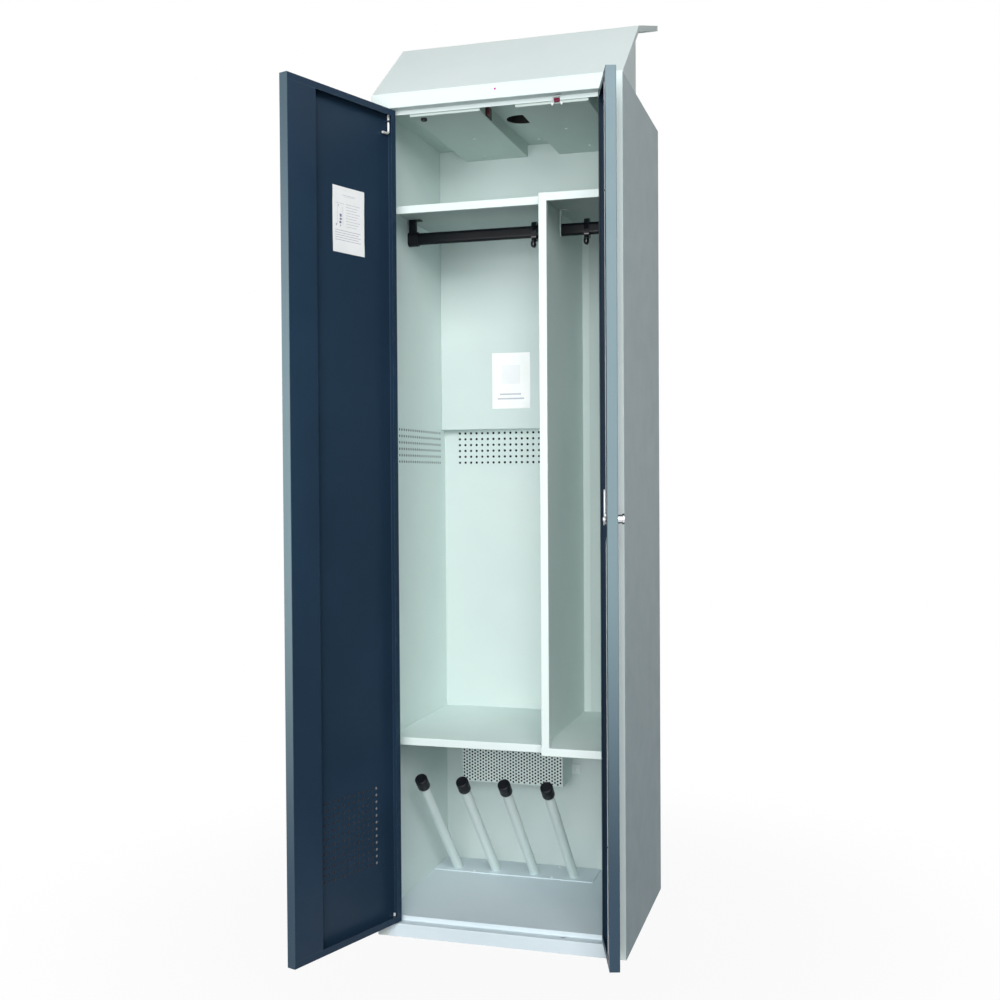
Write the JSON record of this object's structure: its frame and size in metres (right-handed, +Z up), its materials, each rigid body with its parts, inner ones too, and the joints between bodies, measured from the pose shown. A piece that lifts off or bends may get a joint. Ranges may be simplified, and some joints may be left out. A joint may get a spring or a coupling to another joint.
{
  "type": "drying cabinet",
  "caption": "Tall two-door steel cabinet that dries work clothes and boots with warm air, with hanging rails, shelves, leaning boot tubes, a guarded heater and a sloped exhaust hood.",
  "frame": {"origin": "centre of the body's footprint, on the floor, at the underside of the base", "axes": "+X to the right seen from the front, +Y from the front to the back, +Z up; the doors face -Y"},
  "size_m": [0.7026, 0.8418, 2.2632],
  "materials": {
    "body_paint": "light grey powder coat, satin",
    "door_paint": "anthracite blue powder coat, satin",
    "zinc": "bright zinc plate",
    "chrome": "bright",
    "black_steel": "black coating, satin",
    "black_plastic": "black, fine grain",
    "red_plastic": "dark red",
    "white_plastic": "off-white",
    "lamp_lens": "clear magenta lens",
    "grey_plastic": "grey",
    "heater_steel": "dark annealed steel"
  },
  "bodies": {
    "cabinet": {"base_pan": "body_paint", "left_side_panel": "body_paint", "right_side_panel": "body_paint", "rear_panel": "body_paint", "top_panel": "body_paint", "floor_pan": "body_paint", "left_lining": "body_paint", "right_lining": "body_paint", "rear_lining": "body_paint", "ceiling_panel": "body_paint", "upper_duct_cover": "body_paint", "lower_duct_cover": "body_paint", "left_top_shelf": "body_paint", "left_low_shelf": "body_paint", "right_top_shelf": "body_paint", "right_low_shelf": "body_paint", "partition": "body_paint", "rail_holder": "body_paint", "hood_cover": "body_paint", "hood_left_cheek": "body_paint", "hood_right_cheek": "body_paint", "control_tray": "body_paint", "supply_tray": "body_paint", "tube_plate": "body_paint", "heater_guard": "body_paint", "drying_tube_1": "body_paint", "drying_tube_2": "body_paint", "drying_tube_3": "body_paint", "drying_tube_4": "body_paint", "lower_hinge_pins": "zinc", "hinge_washers": "zinc", "fixing_screws": "zinc", "left_rail": "black_steel", "right_rail": "black_steel", "rail_brackets": "black_plastic", "tube_caps": "black_plastic", "power_switch_frame": "black_plastic", "thermostat": "black_plastic", "fan_frame": "black_plastic", "door_switch_housing": "white_plastic", "terminal_block": "white_plastic", "indicator_lamp": "lamp_lens", "cable_gland": "grey_plastic", "heater_element": "heater_steel"},
    "left_door": {"left_door_panel": "door_paint", "left_door_stiffener": "door_paint"},
    "left_hinge_bolt": {"left_hinge_bolt": "zinc"},
    "right_door": {"right_door_panel": "door_paint", "lock_barrel": "zinc"},
    "right_hinge_bolt": {"right_hinge_bolt": "zinc"},
    "lock": {"lock_knob": "chrome", "lock_cam": "zinc"},
    "upper_lock_rod": {"upper_lock_rod": "zinc"},
    "lower_lock_rod": {"lower_lock_rod": "zinc"},
    "power_switch_rocker": {"power_switch_rocker": "red_plastic"},
    "thermostat_dial": {"thermostat_dial": "black_plastic"},
    "door_switch_plunger": {"door_switch_plunger": "red_plastic"},
    "fan_impeller": {"fan_impeller": "black_plastic"},
    "left_rail_hook": {"left_rail_hook": "black_plastic"},
    "right_rail_hook": {"right_rail_hook": "black_plastic"}
  },
  "joints": [
    {"name": "left_door_hinge", "type": "hinge", "parent": "cabinet", "child": "left_door", "pos_m": [-0.26, -0.243, 0.995], "axis": [0, 0, 1], "range_deg": [-2.5, 109.3]},
    {"name": "right_door_hinge", "type": "hinge", "parent": "cabinet", "child": "right_door", "pos_m": [0.26, -0.243, 0.995], "axis": [0, 0, -1], "range_deg": [-5, 106.6]},
    {"name": "left_hinge_bolt_slide", "type": "slide", "parent": "left_door", "child": "left_hinge_bolt", "axis": [0, 0, -1], "range_m": [0, 0.0135]},
    {"name": "right_hinge_bolt_slide", "type": "slide", "parent": "right_door", "child": "right_hinge_bolt", "axis": [0, 0, -1], "range_m": [0, 0.0135]},
    {"name": "lock_turn", "type": "hinge", "parent": "right_door", "child": "lock", "pos_m": [0.27952, -0.36449, 0.998], "axis": [0.9583, 0.2857, 0], "range_deg": [0, 90]},
    {"name": "upper_lock_rod_slide", "type": "slide", "parent": "right_door", "child": "upper_lock_rod", "axis": [0, 0, 1], "range_m": [0, 0.01697]},
    {"name": "lower_lock_rod_slide", "type": "slide", "parent": "right_door", "child": "lower_lock_rod", "axis": [0, 0, -1], "range_m": [0, 0.01707]},
    {"name": "power_switch_rock", "type": "hinge", "parent": "cabinet", "child": "power_switch_rocker", "pos_m": [-0.042, -0.151, 1.957], "axis": [0, 0, -1], "range_deg": [0, 18]},
    {"name": "thermostat_turn", "type": "hinge", "parent": "cabinet", "child": "thermostat_dial", "pos_m": [-0.186, -0.201, 1.941], "axis": [0, 0, -1], "range_deg": [0, 270]},
    {"name": "door_switch_press", "type": "slide", "parent": "cabinet", "child": "door_switch_plunger", "axis": [0, 1, 0], "range_m": [0, 0.003], "stiffness_N_per_m": 200},
    {"name": "fan_spin", "type": "hinge", "parent": "cabinet", "child": "fan_impeller", "pos_m": [0.004, -0.018, 2], "axis": [0, 0, 1], "continuous": true},
    {"name": "left_rail_hook_slide", "type": "slide", "parent": "cabinet", "child": "left_rail_hook", "axis": [1, 0, 0], "range_m": [-0.2965, 0.026]},
    {"name": "right_rail_hook_slide", "type": "slide", "parent": "cabinet", "child": "right_rail_hook", "axis": [1, 0, 0], "range_m": [-0.04, 0.0865]}
  ],
  "couplings": [
    {"joint": "lock_turn", "follows": "upper_lock_rod_slide", "rad_per_m": 92.56},
    {"joint": "lower_lock_rod_slide", "follows": "upper_lock_rod_slide", "ratio": 1}
  ]
}
